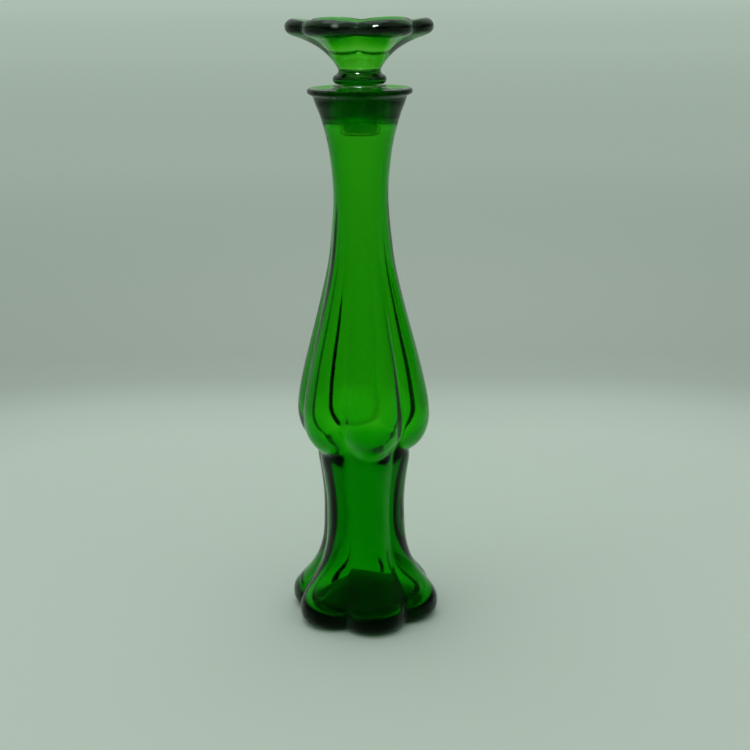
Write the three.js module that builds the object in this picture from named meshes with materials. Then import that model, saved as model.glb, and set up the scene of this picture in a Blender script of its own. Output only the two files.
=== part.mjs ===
// Aftershave bottle shaped like a bud vase, with a flower-shaped stopper.
// Three pieces: a hollow six-lobed glass body, a glass stopper with a cup in its flower, and the plastic
// sleeve on its plug.
// Millimetres, +Z up. The origin is the centre of the base, and one lobe of the body faces -Y.

import * as THREE from "three";

// ---- driving dimensions -------------------------------------------------------------------------

const LOBES = 6; // lobes of the body and petals of the flower
const SEGMENTS = 48; // steps round the lobed pieces, eight to a lobe
const SLEEVE_SEGMENTS = 40; // steps round the sleeve
const OUTSIDE_STEPS = 2; // steps between two neighbouring stations of the body's outside
const HIDDEN_STEPS = 1; // the same for its inside and its underside
const FLOWER_STEPS = 1; // the same for the flower, its cup and its cone

const FIT_GAP = 0.3; // clearance between pieces that sit on or in each other
const RIM_TOP = 204.4; // height of the glass at the mouth
const RIM_RADIUS = 19.2; // outermost edge of the rolled rim
const RIM_BEAD = 1.15; // half the thickness of the rolled rim
const BORE_RADIUS = 7.7; // straight bore that the sleeve plugs
const BORE_BOTTOM = 195.4; // below this the cavity opens out
const BORE_EDGE = 0.9; // rounding where the bore meets the rim

const FLANGE_RADIUS = 9.6; // flange of the sleeve, between rim and collar
const FLANGE_THICKNESS = 0.7;
const SLEEVE_WALL = 1.1;
const SLEEVE_BOTTOM = 188; // lowest edge of the sleeve, inside the neck
const SLEEVE_CHAMFER = 0.6;
const PLUG_BOTTOM = 189; // lowest face of the glass plug, just above the sleeve's edge

const COLLAR_RADIUS = 9.75; // round bead of the stopper that rests on the flange
const COLLAR_BEAD = 1.7; // half its height
const FLOWER_TURN = 16; // degrees that the flower sits turned from the lobes of the body

const GREEN = 0x0f7d12; // emerald glass
const STOPPER_GREEN = 0x2f8f1a; // the same glass, a little lighter where the cup makes it thin
const YELLOWED = 0xd8d9a4; // aged polyethylene

// ---- outlines -----------------------------------------------------------------------------------
// A lobed outline is a list of stations. Each one gives the radius and height over the middle of a lobe,
// then the radius and height in the crease between two lobes.

// Body, outside, from the flat ring that it stands on up to the underside of the rim.
// Columns: height, radius over a lobe, radius of the crease as a share of it, height that the crease gains.
const BODY_OUTSIDE = [
  [0, 25.8, 0.83, 0],
  [1.2, 27.9, 0.82, 0],
  [3.2, 29.2, 0.82, 0],
  [6, 29.5, 0.82, 0],
  [8.8, 28.8, 0.825, 0.4],
  [12, 26.4, 0.84, 0.8],
  [16.5, 22.6, 0.86, 1],
  [22.5, 19, 0.88, 0.8],
  [30, 16.8, 0.89, 0.4],
  [39, 16.1, 0.895, 0],
  [49, 16.1, 0.9, 0],
  [58, 17, 0.91, 0],
  [64.5, 18, 0.92, 1],
  [68.6, 18.1, 0.92, 3],
  [69.6, 19.8, 0.89, 3.4],
  [71.9, 22.3, 0.867, 3],
  [76, 24.7, 0.86, 1.6],
  [82, 25.9, 0.857, 0.4],
  [90, 25.2, 0.86, 0],
  [101, 22.8, 0.865, 0],
  [114, 19.3, 0.875, 0],
  [127, 15.8, 0.9, 0],
  [140, 12.8, 0.935, 0],
  [153, 11.1, 0.965, 0],
  [166, 10.2, 0.99, 0],
  [178, 11, 1, 0],
  [188, 12.7, 1, 0],
  [196.5, 15.3, 1, 0],
  [201.6, 17.4, 1, 0],
];

// Body, inside, from the foot of the mouth bore down into the hollow foot, and up the dome of its floor.
// Same columns.
const BODY_INSIDE = [
  [BORE_BOTTOM, BORE_RADIUS, 1, 0],
  [195, 9.7, 1, 0],
  [193.9, 11, 1, 0],
  [190.5, 11.1, 1, 0],
  [185, 9.8, 1, 0],
  [177, 8.6, 1, 0],
  [166, 7.9, 0.99, 0],
  [153, 8.7, 0.95, 0],
  [140, 10.3, 0.915, 0],
  [127, 13.2, 0.875, 0],
  [114, 16.6, 0.85, 0],
  [101, 20.1, 0.84, 0],
  [90, 22.5, 0.83, 0],
  [82, 23.2, 0.83, 0],
  [76.5, 21.4, 0.86, 1],
  [71.5, 17.2, 0.93, 2],
  [64.5, 12.8, 0.97, 1],
  [55, 10.6, 1, 0],
  [44, 10, 1, 0],
  [36, 10.2, 0.99, 0],
  [29, 11.4, 0.96, 0.2],
  [22, 14, 0.91, 0.6],
  [16, 18.2, 0.87, 0.8],
  [12, 22, 0.84, 0.6],
  [8.8, 24.5, 0.83, 0.3],
  [6.5, 24.9, 0.825, 0],
  [5.3, 23.4, 0.825, 0],
  [5.6, 21, 0.84, 0],
  [8.2, 17.4, 0.88, 0],
  [11.6, 12.6, 0.94, 0],
  [14.2, 7, 0.99, 0],
  [15, 3, 1, 0],
  [15.2, 0, 1, 0],
];

// Underside of the body, from the top of its dome out to the flat ring. Same columns.
const BASE_DOME = [
  [2, 0, 1, 0],
  [1.9, 4, 1, 0],
  [1.7, 9, 0.99, 0],
  [1.2, 13.8, 0.95, 0],
  [0.6, 17.6, 0.9, 0],
  [0.2, 19.9, 0.86, 0],
  [0, 21, 0.85, 0],
];

// Top of the rim, from its bead in to the edge of the bore: a shallow dish round a raised seat.
// Columns: radius, height.
const RIM_DISH = [
  [16.9, 204],
  [15, 203.5],
  [12.5, 203.5],
  [11, 203.9],
  [10.2, 204.3],
];

// Flower and cone of the stopper, from the floor of the cup in its middle, over the petals and down to the
// collar.
// Columns: radius over a petal, height there, radius in the notch between petals, height there.
const FLOWER = [
  [0, 209.3, 0, 209.3],
  [4, 209.4, 4, 209.4],
  [5.9, 210.5, 5.9, 210.5],
  [6.7, 212.6, 6.7, 212.6],
  [8.6, 215.7, 8.6, 215.7],
  [10.5, 218.1, 10.4, 218.2],
  [11.7, 221, 11.3, 221.2],
  [13.6, 223.8, 12.8, 223.8],
  [16.8, 225.8, 15.4, 225.5],
  [20.8, 227.6, 18.4, 226.8],
  [24, 228.6, 20.6, 227.6],
  [26.3, 227, 22.1, 226.6],
  [26.6, 225.4, 22.5, 225.4],
  [25.7, 223.7, 21.9, 224.1],
  [24, 222.7, 20.9, 223.3],
  [21.4, 221.8, 18.8, 222.6],
  [16.9, 219.8, 15.6, 220.5],
  [12.8, 217.1, 12.4, 217.4],
  [9.9, 214.2, 9.9, 214.2],
  [8.2, 211.9, 8.2, 211.9],
  [7.7, 210.2, 7.7, 210.2],
];

// ---- geometry -----------------------------------------------------------------------------------

const radians = THREE.MathUtils.degToRad;

// A point of an outline that is the same over a lobe and in a crease.
const round = ([radius, height]) => [radius, height, radius, height];

// Turns a row of height, radius, crease share and crease lift into an outline point.
const lobed = ([height, radius, share, lift]) => [radius, height, radius * share, height + lift];

// A smooth line through the points, for the lobe and for the crease alike.
function smooth(points, steps) {
  const count = steps * (points.length - 1);
  const over = new THREE.SplineCurve(points.map((p) => new THREE.Vector2(p[0], p[1]))).getPoints(count);
  const between = new THREE.SplineCurve(points.map((p) => new THREE.Vector2(p[2], p[3]))).getPoints(count);
  return over.map((p, i) => [Math.max(p.x, 0), p.y, Math.max(between[i].x, 0), between[i].y]);
}

// A round arc about [radius, height], between two angles in degrees from the outward direction.
function arc(radius, height, size, from, to, steps) {
  const points = [];
  for (let i = 0; i <= steps; i++) {
    const angle = radians(from + ((to - from) * i) / steps);
    points.push(round([radius + size * Math.cos(angle), height + size * Math.sin(angle)]));
  }
  return points;
}

// Radius of a cross-section made of equal round arcs that meet in creases, at an angle from a lobe's middle.
function lobeRadius(over, between, angle) {
  const half = Math.PI / LOBES;
  const away = THREE.MathUtils.euclideanModulo(angle + half, 2 * half) - half;
  if (over - between < 1e-6) return over;
  const centre = (over ** 2 - between ** 2) / (2 * (over - between * Math.cos(half)));
  return centre * Math.cos(away) + Math.sqrt((over - centre) ** 2 - (centre * Math.sin(away)) ** 2);
}

// A closed solid turned about Z from an outline, with each ring drawn in between the lobes.
function lobedSolid(name, outline, segments, colour, roughness) {
  const profile = outline.map((p) => new THREE.Vector2(p[0], p[1]));
  const geometry = new THREE.LatheGeometry(profile, segments);
  const position = geometry.getAttribute("position");
  for (let i = 0; i < position.count; i++) {
    const [over, overHeight, between, betweenHeight] = outline[i % outline.length];
    const angle = (Math.floor(i / outline.length) * 2 * Math.PI) / segments;
    const radius = lobeRadius(over, between, angle);
    const share = over - between < 1e-6 ? 1 : (radius - between) / (over - between);
    const height = THREE.MathUtils.lerp(betweenHeight, overHeight, share);
    position.setXYZ(i, radius * Math.sin(angle), -radius * Math.cos(angle), height);
  }
  geometry.computeVertexNormals();
  const material = new THREE.MeshStandardMaterial({ color: colour, roughness, metalness: 0 });
  const mesh = new THREE.Mesh(geometry, material);
  mesh.name = name;
  return mesh;
}

function bottleBody() {
  const beadRadius = RIM_RADIUS - RIM_BEAD;
  const beadHeight = RIM_TOP - RIM_BEAD;
  const edgeRadius = BORE_RADIUS + BORE_EDGE;
  const edgeHeight = RIM_TOP - BORE_EDGE;
  const outline = [
    ...smooth(BASE_DOME.map(lobed), HIDDEN_STEPS),
    ...smooth(BODY_OUTSIDE.map(lobed), OUTSIDE_STEPS),
    ...arc(beadRadius, beadHeight, RIM_BEAD, -80, 90, 6),
    ...RIM_DISH.map(round),
    ...arc(edgeRadius, edgeHeight, BORE_EDGE, 90, 180, 3),
    ...smooth(BODY_INSIDE.map(lobed), HIDDEN_STEPS),
  ];
  return lobedSolid("bottle_body", outline, SEGMENTS, GREEN, 0.03);
}

function stopperSleeve() {
  const flangeBottom = RIM_TOP + FIT_GAP;
  const flangeTop = flangeBottom + FLANGE_THICKNESS;
  const outside = BORE_RADIUS - FIT_GAP;
  const inside = outside - SLEEVE_WALL;
  const edge = FLANGE_THICKNESS / 2;
  const outline = [
    ...[
      [inside, SLEEVE_BOTTOM],
      [outside - SLEEVE_CHAMFER, SLEEVE_BOTTOM],
      [outside, SLEEVE_BOTTOM + SLEEVE_CHAMFER],
      [outside, flangeBottom],
    ].map(round),
    ...arc(FLANGE_RADIUS - edge, flangeBottom + edge, edge, -90, 90, 4),
    ...[
      [inside, flangeTop],
      [inside, SLEEVE_BOTTOM],
    ].map(round),
  ];
  return lobedSolid("stopper_sleeve", outline, SLEEVE_SEGMENTS, YELLOWED, 0.45);
}

function stopper() {
  const flangeTop = RIM_TOP + FIT_GAP + FLANGE_THICKNESS;
  const collarHeight = flangeTop + FIT_GAP + COLLAR_BEAD;
  const plugRadius = BORE_RADIUS - FIT_GAP - SLEEVE_WALL - FIT_GAP;
  const outline = [
    ...smooth(FLOWER, FLOWER_STEPS),
    ...arc(COLLAR_RADIUS - COLLAR_BEAD, collarHeight, COLLAR_BEAD, 75, -90, 6),
    ...[
      [plugRadius, flangeTop + FIT_GAP],
      [plugRadius, PLUG_BOTTOM + 1],
      [plugRadius - 1, PLUG_BOTTOM],
      [0, PLUG_BOTTOM],
    ].map(round),
  ];
  const mesh = lobedSolid("stopper", outline.reverse(), SEGMENTS, STOPPER_GREEN, 0.03);
  mesh.rotation.z = radians(FLOWER_TURN);
  return mesh;
}

// ---- the bottle ---------------------------------------------------------------------------------

const bottle = new THREE.Group();
bottle.add(bottleBody(), stopperSleeve(), stopper());

export default bottle;
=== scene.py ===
"""Looks of the aftershave bottle: a six-lobed glass body, a flower-shaped glass stopper and its sleeve.

The CAD nodes give the outline of each piece, over a lobe and in a crease. This script reads those outlines
from the frame, draws a smooth curve through them and turns it into a fine mesh, so each piece keeps its size.
"""

import math

import bpy
import numpy as np
from mathutils import Matrix, Vector


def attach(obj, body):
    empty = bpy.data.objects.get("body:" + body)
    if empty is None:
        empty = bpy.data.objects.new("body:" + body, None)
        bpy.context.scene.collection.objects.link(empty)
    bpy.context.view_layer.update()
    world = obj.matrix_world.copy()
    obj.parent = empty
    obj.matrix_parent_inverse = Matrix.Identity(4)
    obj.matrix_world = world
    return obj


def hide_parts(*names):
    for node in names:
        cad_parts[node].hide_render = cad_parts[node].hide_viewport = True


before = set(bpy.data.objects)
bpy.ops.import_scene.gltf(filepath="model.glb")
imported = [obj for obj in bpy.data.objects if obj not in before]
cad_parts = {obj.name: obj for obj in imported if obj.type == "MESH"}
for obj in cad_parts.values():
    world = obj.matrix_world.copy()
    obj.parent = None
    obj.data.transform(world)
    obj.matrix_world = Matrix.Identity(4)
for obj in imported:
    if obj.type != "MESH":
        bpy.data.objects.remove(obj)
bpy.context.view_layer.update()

MM = 0.001
LOBES = 6
HALF_LOBE = math.pi / LOBES
FRONT = -math.pi / 2  # a lobe of the body faces -Y
rng = np.random.default_rng(7)


# ---- camera -----------------------------------------------------------------------------------------

CAMERA_LENS = 64.8  # mm, on a sensor 36 mm wide
CAMERA_DISTANCE = 0.4954  # level distance from the axis of the bottle
CAMERA_HEIGHT = 0.2408
CAMERA_PITCH = 16.23  # degrees down
CAMERA_SIDE = 11.6  # degrees round to the left of the front lobe
CAMERA_ASIDE = 0.54  # degrees that it looks past the bottle, to the right
CAMERA_ROLL = -0.46


def add_camera():
    camera = bpy.data.objects.new("camera", bpy.data.cameras.new("camera"))
    bpy.context.scene.collection.objects.link(camera)
    camera.data.lens = CAMERA_LENS
    camera.data.sensor_width = 36
    camera.data.clip_start = 0.01
    side = math.radians(CAMERA_SIDE)
    place = Vector((-math.sin(side), -math.cos(side), 0)) * CAMERA_DISTANCE
    place.z = CAMERA_HEIGHT
    heading = Matrix.Rotation(-math.radians(CAMERA_SIDE + CAMERA_ASIDE), 4, "Z")
    tilt = Matrix.Rotation(math.radians(90 - CAMERA_PITCH), 4, "X")
    roll = Matrix.Rotation(math.radians(CAMERA_ROLL), 4, "Z")
    camera.matrix_world = Matrix.Translation(place) @ heading @ tilt @ roll
    bpy.context.scene.camera = camera


# ---- outlines, read from the frame ------------------------------------------------------------------

NEARLY = 0.01 * MM  # points closer than this count as one
DIGITS = 5  # of a metre, which are kept of a point's radius and height
SQUARE = 0.02 * MM  # most that an upright or level stretch leans
STRAIGHT = 2.8 * MM  # least length of one that stays straight


def section(node, angle):
    """A CAD node's outline in the half-plane at an angle about Z: ordered (radius, height) points in metres.

    An outline that meets the axis runs from its lowest point there. One that doesn't is closed, and starts at
    its lowest point.
    """
    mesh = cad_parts[node].data
    co = np.array([v.co for v in mesh.vertices])
    radius = co[:, 0] * math.cos(angle) + co[:, 1] * math.sin(angle)
    aside = co[:, 1] * math.cos(angle) - co[:, 0] * math.sin(angle)
    here = np.flatnonzero((np.abs(aside) < 2 * NEARLY) & (radius > -NEARLY))
    keys = {int(i): (round(max(radius[i], 0), DIGITS), round(co[i, 2], DIGITS)) for i in here}
    links = {key: set() for key in keys.values()}
    for edge in mesh.edges:
        a, b = (keys.get(v) for v in edge.vertices)
        if a is not None and b is not None and a != b:
            links[a].add(b)
            links[b].add(a)
    ends = [key for key in links if key[0] < NEARLY]
    start = min(ends or links, key=lambda key: (key[1], key[0]))
    path = [start]
    while True:
        onward = [key for key in links[path[-1]] if key not in path]
        if not onward:
            break
        path.append(min(onward, key=lambda key: math.dist(key, path[-1])))
    if not ends:
        path.append(start)
    return np.array(path)


def spline(points, places, at):
    """A natural cubic spline through points, whose parameters are places, sampled at those values."""
    step = np.diff(places)[:, None]
    slope = np.diff(points, axis=0) / step
    count = len(points)
    system = np.eye(count)
    known = np.zeros_like(points)
    for i in range(1, count - 1):
        system[i, i - 1 : i + 2] = step[i - 1, 0], 2 * (step[i - 1, 0] + step[i, 0]), step[i, 0]
        known[i] = 3 * (slope[i] - slope[i - 1])
    bend = np.linalg.solve(system, known)
    i = np.clip(np.searchsorted(places, at, side="right") - 1, 0, count - 2)
    t = (at - places[i])[:, None]
    rise = (bend[i + 1] - bend[i]) / (3 * step[i])
    fall = slope[i] - step[i] * (2 * bend[i] + bend[i + 1]) / 3
    return points[i] + t * (fall + t * (bend[i] + t * rise))


def smooth_outline(over, between, spacing, corner):
    """Both outlines of a lobed piece, sampled evenly: radius and height over a lobe, then in a crease.

    A turn sharper than corner degrees stays a corner, and ends one spline. A long upright or level stretch,
    such as the side of a plug, stays straight, because a spline would bulge there.
    """
    points = np.hstack([over, between])
    length = np.linalg.norm(np.diff(over, axis=0), axis=1)
    heading = np.unwrap(np.arctan2(*np.diff(over, axis=0).T[::-1]))
    turns = np.abs(np.degrees(np.diff(heading)))
    square = np.flatnonzero((np.abs(np.diff(over, axis=0)).min(axis=1) < SQUARE) & (length > STRAIGHT))
    cuts = sorted({0, *(np.flatnonzero(turns > corner) + 1), *square, *(square + 1), len(points) - 1})
    places = np.concatenate([[0], np.cumsum(length)])
    rows = []
    for first, last in zip(cuts[:-1], cuts[1:]):
        count = max(2, round((places[last] - places[first]) / spacing))
        at = np.linspace(places[first], places[last], count + 1)
        if last - first > 1:
            rows.append(spline(points[first : last + 1], places[first : last + 1], at)[:-1])
        else:
            share = ((at - at[0]) / (at[-1] - at[0]))[:-1, None]
            rows.append(points[first] + share * (points[last] - points[first]))
    rows.append(points[-1:])
    return np.maximum(np.vstack(rows), 0)


def softened(rows, low, high, passes):
    """The outline with its turns rounded off between two heights, as fire polishing rounds glass."""
    rows = rows.copy()
    share = np.clip(np.minimum(rows[:, 1] - low, high - rows[:, 1]) / MM, 0, 1)[1:-1, None]
    for _ in range(passes):
        rows[1:-1] += share * ((rows[:-2] + rows[2:]) / 2 - rows[1:-1]) / 2
    return rows


# ---- meshes -----------------------------------------------------------------------------------------

ROUND = 0.001 * MM  # a crease shallower than this leaves a piece round
TINY = 1e-9  # keeps a division away from zero


def lobe_radius(over, between, away, softness):
    """Radius of six round lobes that meet in soft creases, at an angle away from the middle of a lobe."""
    depth = np.maximum(over - between, 0)
    gap = over - between * math.cos(HALF_LOBE)
    centre = np.where(depth > ROUND, (over**2 - between**2) / (2 * gap), 0)

    def arc(angle):
        inside = (over - centre) ** 2 - (centre * np.sin(angle)) ** 2
        return centre * np.cos(angle) + np.sqrt(np.maximum(inside, 0))

    blur = np.minimum(softness, 0.25 * depth) + TINY
    near, far = arc(away), arc(2 * HALF_LOBE - away)
    return near + blur * np.log1p(np.exp(np.clip((far - near) / blur, -60, 0)))


def turned_mesh(name, rows, around, turn, softness, waver=None):
    """A closed mesh turned about Z from an outline, with its lobes drawn in. turn is the angle of a lobe."""
    angles = np.arange(around) * 2 * math.pi / around
    away = np.abs((angles + HALF_LOBE) % (2 * HALF_LOBE) - HALF_LOBE)
    over, over_height, between, between_height = (column[:, None] for column in rows.T)
    radius = lobe_radius(over, between, away[None], softness)
    depth = over - between
    share = np.where(depth > ROUND, np.clip((radius - between) / np.maximum(depth, TINY), 0, 1), 1)
    height = between_height + (over_height - between_height) * share
    if waver is not None:
        radius = radius + waver(angles[None], height, radius)
    across, deep = radius * np.cos(angles + turn), radius * np.sin(angles + turn)
    grid = np.stack([across, deep, np.broadcast_to(height, radius.shape)], axis=-1)
    closed = rows[0, 0] > ROUND
    rings = grid[0 if closed else 1 : -1]
    body = rings.reshape(-1, 3)
    index = np.arange(len(body)).reshape(len(rings), around)
    onward = np.roll(index, -1, axis=1)
    below, above = (index, np.roll(index, -1, axis=0)) if closed else (index[:-1], index[1:])
    below_on, above_on = (onward, np.roll(onward, -1, axis=0)) if closed else (onward[:-1], onward[1:])
    faces = np.stack([below, below_on, above_on, above], axis=-1).reshape(-1, 4).tolist()
    if not closed:
        low, high = len(body), len(body) + 1
        body = np.vstack([body, [0, 0, rows[0, 1]], [0, 0, rows[-1, 1]]])
        faces += [[low, int(b), int(a)] for a, b in zip(index[0], onward[0])]
        faces += [[high, int(a), int(b)] for a, b in zip(index[-1], onward[-1])]
    mesh = bpy.data.meshes.new(name)
    mesh.from_pydata(body.tolist(), [], faces)
    mesh.shade_smooth()
    mesh.update()
    piece = bpy.data.objects.new(name, mesh)
    bpy.context.scene.collection.objects.link(piece)
    return piece


WAVE_FADE = 4 * MM  # radius inside which the waves fade out


def waviness(size, turns, lift, phases):
    """A gentle unevenness of blown glass: a sum of waves round and along the piece, size metres high.

    It fades out towards the axis.
    """

    def waver(angles, height, radius):
        total = 0
        for k, (ring, along) in enumerate(zip(turns, lift)):
            total = total + np.sin(ring * angles + phases[k] + along * height / MM)
        fade = np.clip(radius / WAVE_FADE, 0, 1)
        return size * total / len(turns) * fade

    return waver


# ---- materials --------------------------------------------------------------------------------------

GLASS_IOR = 1.5
PLASTIC_IOR = 1.51
GREEN = (0.35, 0.89, 0.0)  # light that the glass lets through
BODY_DENSITY = 1060  # how strongly it takes the rest away, per metre
STOPPER_DENSITY = 900
BODY_GLOSS = (0.03, 0.12, 0.04)  # tint of what the glass reflects
STOPPER_GLOSS = (0.3, 0.45, 0.32)
PALE_YELLOW = (0.93, 0.92, 0.75)
CREAM = (1.0, 1.0, 0.9)


def new_material(name):
    material = bpy.data.materials.new(name)
    material.use_nodes = True
    tree = material.node_tree
    tree.nodes.clear()
    output = tree.nodes.new("ShaderNodeOutputMaterial")
    shader = tree.nodes.new("ShaderNodeBsdfPrincipled")
    tree.links.new(shader.outputs["BSDF"], output.inputs["Surface"])
    return material, tree, shader, output


def noise(tree, scale, detail=2.0, stretch=(1, 1, 1)):
    """A noise value over the piece, in metres, stretched along an axis where that is below 1."""
    place = tree.nodes.new("ShaderNodeTexCoord")
    mapping = tree.nodes.new("ShaderNodeMapping")
    mapping.inputs["Scale"].default_value = stretch
    texture = tree.nodes.new("ShaderNodeTexNoise")
    texture.inputs["Scale"].default_value = scale
    texture.inputs["Detail"].default_value = detail
    tree.links.new(place.outputs["Object"], mapping.inputs["Vector"])
    tree.links.new(mapping.outputs["Vector"], texture.inputs["Vector"])
    return texture.outputs["Fac"]


def maths(tree, operation, a, b=None):
    node = tree.nodes.new("ShaderNodeMath")
    node.operation = operation
    for socket, value in zip(node.inputs, (a, b)):
        if isinstance(value, float):
            socket.default_value = value
        elif value is not None:
            tree.links.new(value, socket)
    return node.outputs["Value"]


def remap(tree, value, low, high, new_low, new_high):
    node = tree.nodes.new("ShaderNodeMapRange")
    node.interpolation_type = "SMOOTHSTEP"
    for socket, number in (("From Min", low), ("From Max", high), ("To Min", new_low), ("To Max", new_high)):
        node.inputs[socket].default_value = number
    tree.links.new(value, node.inputs["Value"])
    return node.outputs["Result"]


def bump(tree, value, distance, strength, normal=None):
    node = tree.nodes.new("ShaderNodeBump")
    node.inputs["Distance"].default_value = distance
    node.inputs["Strength"].default_value = strength
    tree.links.new(value, node.inputs["Height"])
    if normal is not None:
        tree.links.new(normal, node.inputs["Normal"])
    return node.outputs["Normal"]


def glass(name, density, gloss):
    """Clear glass with a coloured volume, smudged and slightly uneven on its surface."""
    material, tree, shader, output = new_material(name)
    shader.inputs["Base Color"].default_value = (1, 1, 1, 1)
    shader.inputs["Transmission Weight"].default_value = 1
    shader.inputs["IOR"].default_value = GLASS_IOR
    shader.inputs["Specular Tint"].default_value = (*gloss, 1)
    smudge = noise(tree, 140, 4)
    tree.links.new(remap(tree, smudge, 0.45, 0.75, 0.0, 0.025), shader.inputs["Roughness"])
    swell = bump(tree, noise(tree, 70, 1, (1, 1, 0.35)), 0.4 * MM, 0.35)
    peel = bump(tree, noise(tree, 450, 2), 0.03 * MM, 0.5, swell)
    tree.links.new(peel, shader.inputs["Normal"])
    volume = tree.nodes.new("ShaderNodeVolumeAbsorption")
    volume.inputs["Color"].default_value = (*GREEN, 1)
    volume.inputs["Density"].default_value = density
    tree.links.new(volume.outputs["Volume"], output.inputs["Volume"])
    return material


def aged_plastic(name):
    """Polyethylene gone yellow: cloudy, half see-through, with faint blotches and a fine moulded grain."""
    material, tree, shader, _ = new_material(name)
    ramp = tree.nodes.new("ShaderNodeValToRGB")
    for element, (position, colour) in zip(ramp.color_ramp.elements, ((0.35, PALE_YELLOW), (0.7, CREAM))):
        element.position = position
        element.color = (*colour, 1)
    tree.links.new(noise(tree, 260, 4), ramp.inputs["Fac"])
    tree.links.new(ramp.outputs["Color"], shader.inputs["Base Color"])
    tree.links.new(remap(tree, noise(tree, 500, 3), 0.3, 0.7, 0.1, 0.25), shader.inputs["Roughness"])
    tree.links.new(bump(tree, noise(tree, 2500, 2), 0.02 * MM, 0.6), shader.inputs["Normal"])
    shader.inputs["IOR"].default_value = PLASTIC_IOR
    shader.inputs["Transmission Weight"].default_value = 0.97
    shader.inputs["Subsurface Weight"].default_value = 0.2
    shader.inputs["Subsurface Radius"].default_value = (1, 0.9, 0.5)
    shader.inputs["Subsurface Scale"].default_value = 1.5 * MM
    return material


# ---- pieces -----------------------------------------------------------------------------------------


def make_piece(
    node,
    body,
    material,
    around,
    spacing,
    corner,
    lobed=True,
    turn=0.0,
    softness=0.0,
    waver=None,
    polish=None,
):
    """A fine mesh from a CAD node's outline, which stands for that node and rides on its body.

    around and spacing set how fine the mesh is.
    """
    over = section(node, FRONT + turn)
    between = section(node, FRONT + turn + HALF_LOBE) if lobed else over
    rows = smooth_outline(over, between, spacing, corner)
    if polish:
        rows = softened(rows, *polish)
    piece = turned_mesh(node + "_fine", rows, around, FRONT + turn, softness, waver)
    piece.data.materials.append(material)
    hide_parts(node)
    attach(piece, body)


LIP_POLISH = (62 * MM, 80 * MM, 8)  # heights of the lobes' lower lip, and how often it is rounded
GLASS_AROUND = 288  # steps round a glass piece
BODY_WAVE = 0.06 * MM
WAVE_TURNS = (2, 3, 5, 7)  # waves in one turn
WAVE_LIFT = (0.11, -0.07, 0.05, 0.15)  # radians per millimetre of height


def make_body():
    material = glass("body_glass", BODY_DENSITY, BODY_GLOSS)
    phases = rng.uniform(0, 2 * math.pi, len(WAVE_TURNS))
    waver = waviness(BODY_WAVE, WAVE_TURNS, WAVE_LIFT, phases)
    make_piece(
        "bottle_body",
        "bottle",
        material,
        GLASS_AROUND,
        0.6 * MM,
        110,
        softness=0.4 * MM,
        waver=waver,
        polish=LIP_POLISH,
    )


FLOWER_TURN = math.radians(16)  # from a lobe of the body to a petal


def make_stopper():
    material = glass("stopper_glass", STOPPER_DENSITY, STOPPER_GLOSS)
    make_piece(
        "stopper",
        "stopper",
        material,
        GLASS_AROUND,
        0.35 * MM,
        60,
        turn=FLOWER_TURN,
        softness=0.5 * MM,
    )


def make_sleeve():
    material = aged_plastic("sleeve_plastic")
    make_piece("stopper_sleeve", "sleeve", material, 120, 0.3 * MM, 38, lobed=False)


# ---- floor, world and light -------------------------------------------------------------------------


FLOOR_RADIUS = 40.0
FLOOR_RINGS = 60
FLOOR_AROUND = 96
FLOOR_TINT = (0.7, 0.755, 0.71)
# Painted light and shade on the floor: a painted pool of light round the bottle, painted shade past its soft
# edge, lighter again far out.
FLOOR_PAINTED_SHADES = (  # metres out, and the tone there
    (0.0, 0.95),
    (0.25, 0.945),
    (0.29, 0.8),
    (0.34, 0.63),
    (0.55, 0.68),
    (1.4, 0.875),
    (4.5, 1.03),
    (14.0, 1.15),
)
FAR_TONE = FLOOR_PAINTED_SHADES[-1][0]  # where the tone stops changing


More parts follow.
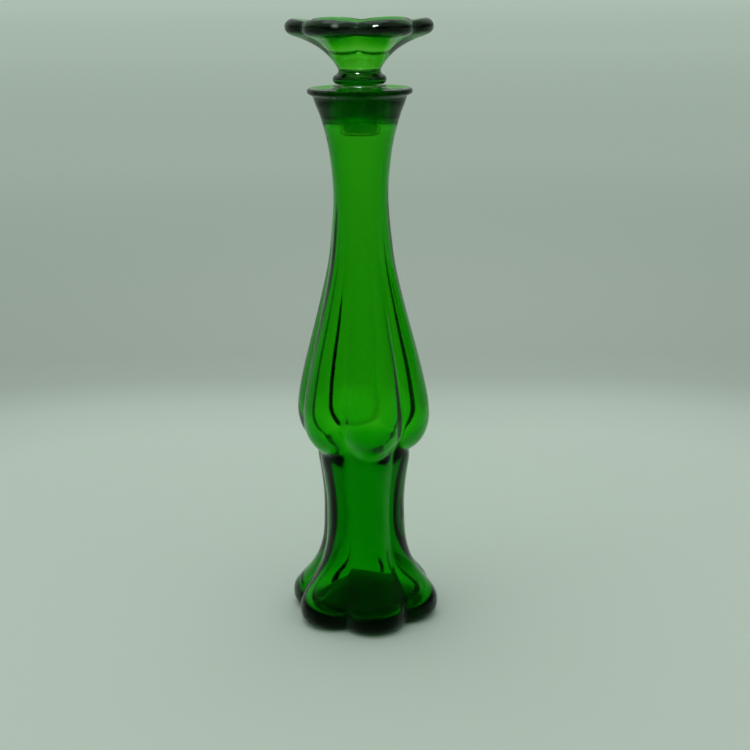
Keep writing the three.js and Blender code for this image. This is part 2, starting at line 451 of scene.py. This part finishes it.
def add_floor():
    """A wide pale floor with painted shade. It is bright round the bottle as a painted pool of light, its
    tone drops a little past a soft edge as painted shade, and it grows lighter again far out.
    """
    angles = np.arange(FLOOR_AROUND) * 2 * math.pi / FLOOR_AROUND
    points = [(0, 0, 0)]
    for r in np.geomspace(0.02, FLOOR_RADIUS, FLOOR_RINGS):
        points += [(r * math.cos(a), r * math.sin(a), 0) for a in angles]
    faces = [(0, 1 + i, 1 + (i + 1) % FLOOR_AROUND) for i in range(FLOOR_AROUND)]
    for ring in range(FLOOR_RINGS - 1):
        low, high = 1 + ring * FLOOR_AROUND, 1 + (ring + 1) * FLOOR_AROUND
        for i in range(FLOOR_AROUND):
            j = (i + 1) % FLOOR_AROUND
            faces.append((low + i, high + i, high + j, low + j))
    mesh = bpy.data.meshes.new("floor")
    mesh.from_pydata(points, [], faces)
    floor = bpy.data.objects.new("floor", mesh)
    bpy.context.scene.collection.objects.link(floor)
    material, tree, shader, _ = new_material("floor_painted_shade")
    # The edge of the painted pool of light is a square with round corners, turned to the main camera's
    # heading: |x|^4 + |y|^4 is the same all along it.
    heading = math.radians(CAMERA_SIDE + CAMERA_ASIDE)
    place = tree.nodes.new("ShaderNodeTexCoord").outputs["Object"]
    powers = []
    for across in ((math.cos(heading), -math.sin(heading), 0), (math.sin(heading), math.cos(heading), 0)):
        dot = tree.nodes.new("ShaderNodeVectorMath")
        dot.operation = "DOT_PRODUCT"
        dot.inputs[1].default_value = across
        tree.links.new(place, dot.inputs[0])
        powers.append(maths(tree, "POWER", maths(tree, "ABSOLUTE", dot.outputs["Value"]), 4.0))
    reach = maths(tree, "POWER", maths(tree, "ADD", *powers), 0.25)
    reach = maths(tree, "DIVIDE", reach, FAR_TONE)
    # The ramp paints the floor's light and shade on by distance out. The floor is flat and evenly made.
    ramp = tree.nodes.new("ShaderNodeValToRGB")
    stops = ramp.color_ramp
    while len(stops.elements) < len(FLOOR_PAINTED_SHADES):
        stops.elements.new(0.5)
    for element, (distance, tone) in zip(stops.elements, FLOOR_PAINTED_SHADES):
        element.position = distance / FAR_TONE
        element.color = (*(tone * c for c in FLOOR_TINT), 1)
    tree.links.new(reach, ramp.inputs["Fac"])
    tree.links.new(ramp.outputs["Color"], shader.inputs["Base Color"])
    shader.inputs["Roughness"].default_value = 0.85
    shader.inputs["Specular IOR Level"].default_value = 0.15
    mesh.materials.append(material)


OVERHEAD = 0.72  # brightness from straight above
BEHIND = 0.36  # brightness from behind the bottle
BEHIND_AZIMUTH = 78  # degrees from +X
BESIDE = 0.24  # brightness of each of three smaller openings
BESIDE_AZIMUTHS = (-45, 185, 135)
DIM = 0.04  # brightness of everything else at eye level
STUDIO_TINT = (0.86, 1.0, 0.9)
BACKDROP = (0.43, 0.53, 0.46)  # what the camera sees past the floor


def add_world():
    """Plain pale surroundings. Seen through and in the glass they are a studio: bright behind and above."""
    world = bpy.data.worlds.new("studio")
    bpy.context.scene.world = world
    world.use_nodes = True
    tree = world.node_tree
    tree.nodes.clear()
    output = tree.nodes.new("ShaderNodeOutputWorld")
    place = tree.nodes.new("ShaderNodeTexCoord")
    direction = place.outputs["Generated"]
    flat = tree.nodes.new("ShaderNodeVectorMath")
    flat.operation = "MULTIPLY"
    flat.inputs[1].default_value = (1, 1, 0)
    tree.links.new(direction, flat.inputs[0])
    unit = tree.nodes.new("ShaderNodeVectorMath")
    unit.operation = "NORMALIZE"
    tree.links.new(flat.outputs["Vector"], unit.inputs[0])
    level_direction = unit.outputs["Vector"]

    def facing(azimuth, spread, level):
        """level towards an azimuth in degrees from +X, falling to nothing spread degrees away."""
        dot = tree.nodes.new("ShaderNodeVectorMath")
        dot.operation = "DOT_PRODUCT"
        angle = math.radians(azimuth)
        dot.inputs[1].default_value = (math.cos(angle), math.sin(angle), 0)
        tree.links.new(level_direction, dot.inputs[0])
        return remap(tree, dot.outputs["Value"], math.cos(math.radians(spread)), 1.0, 0.0, level)

    split = tree.nodes.new("ShaderNodeSeparateXYZ")
    tree.links.new(direction, split.inputs[0])
    above = remap(tree, split.outputs["Z"], 0.1, 0.85, 0.0, 1.0)
    aside = maths(tree, "ADD", facing(BEHIND_AZIMUTH, 75, BEHIND), DIM)
    for azimuth in BESIDE_AZIMUTHS:
        aside = maths(tree, "ADD", aside, facing(azimuth, 30, BESIDE))
    level = tree.nodes.new("ShaderNodeMix")
    level.inputs["B"].default_value = OVERHEAD
    tree.links.new(above, level.inputs["Factor"])
    tree.links.new(aside, level.inputs["A"])
    studio = tree.nodes.new("ShaderNodeBackground")
    studio.inputs["Color"].default_value = (*STUDIO_TINT, 1)
    tree.links.new(level.outputs["Result"], studio.inputs["Strength"])
    backdrop = tree.nodes.new("ShaderNodeBackground")
    backdrop.inputs["Color"].default_value = (*BACKDROP, 1)
    path = tree.nodes.new("ShaderNodeLightPath")
    mix = tree.nodes.new("ShaderNodeMixShader")
    tree.links.new(path.outputs["Is Camera Ray"], mix.inputs["Fac"])
    tree.links.new(studio.outputs["Background"], mix.inputs[1])
    tree.links.new(backdrop.outputs["Background"], mix.inputs[2])
    tree.links.new(mix.outputs["Shader"], output.inputs["Surface"])


WIDE = 180  # degrees, of a lamp without a hood


def add_area(name, place, target, size, power, beam=WIDE):
    """An area lamp. One with a narrower beam shows only as a highlight."""
    light = bpy.data.lights.new(name, "AREA")
    light.shape = "RECTANGLE"
    light.size, light.size_y = size
    light.energy = power
    light.spread = math.radians(beam)
    lamp = bpy.data.objects.new(name, light)
    bpy.context.scene.collection.objects.link(lamp)
    lamp.location = place
    lamp.rotation_euler = (Vector(target) - Vector(place)).to_track_quat("-Z", "Y").to_euler()
    lamp.visible_diffuse = beam == WIDE
    lamp.visible_transmission = beam == WIDE


def add_lights():
    add_area("softbox", (-0.1, 0.05, 1.1), (0, 0, 0.12), (0.8, 0.6), 2.0)
    # The window is aimed over the stopper, so that its petals catch the light and the foot doesn't.
    add_area("window", (-0.2, -0.55, 0.75), (0, 0, 0.34), (0.4, 0.16), 4.0, 24)


# ---- the scene --------------------------------------------------------------------------------------

add_camera()
make_body()
make_sleeve()
make_stopper()
add_floor()
add_world()
add_lights()

scene = bpy.context.scene
scene.view_settings.view_transform = "Standard"
scene.cycles.max_bounces = 32
scene.cycles.transmission_bounces = 32
scene.cycles.glossy_bounces = 12
